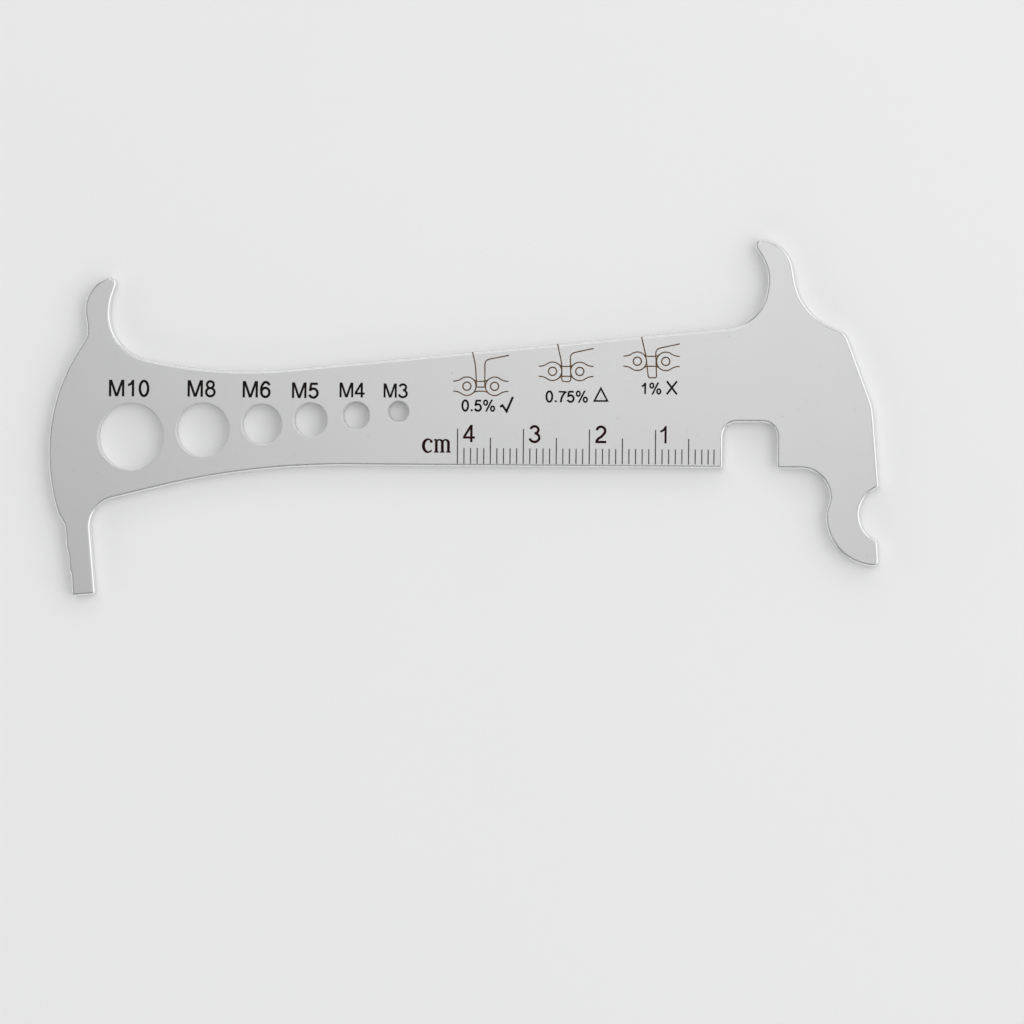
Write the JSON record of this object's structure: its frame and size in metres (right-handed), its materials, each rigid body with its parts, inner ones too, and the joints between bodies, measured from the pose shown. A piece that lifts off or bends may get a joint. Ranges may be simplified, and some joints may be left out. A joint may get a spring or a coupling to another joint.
{
  "type": "chain wear gauge",
  "caption": "Flat steel chain wear gauge with a stepped measuring leg, a hooked foot, two upper hooks, a square slot and round bolt gauge holes, lying on its back.",
  "frame": {"origin": "middle of the plate's outline, on its back face, which lies on the table", "axes": "+X along the straight ruler edge towards the hooked foot, +Y towards the two upper hooks, +Z out of the marked front face"},
  "size_m": [0.1264, 0.0544, 0.002],
  "materials": {
    "stainless_steel": "satin, plain"
  },
  "bodies": {
    "root": {"gauge_plate": "stainless_steel"}
  },
  "joints": []
}
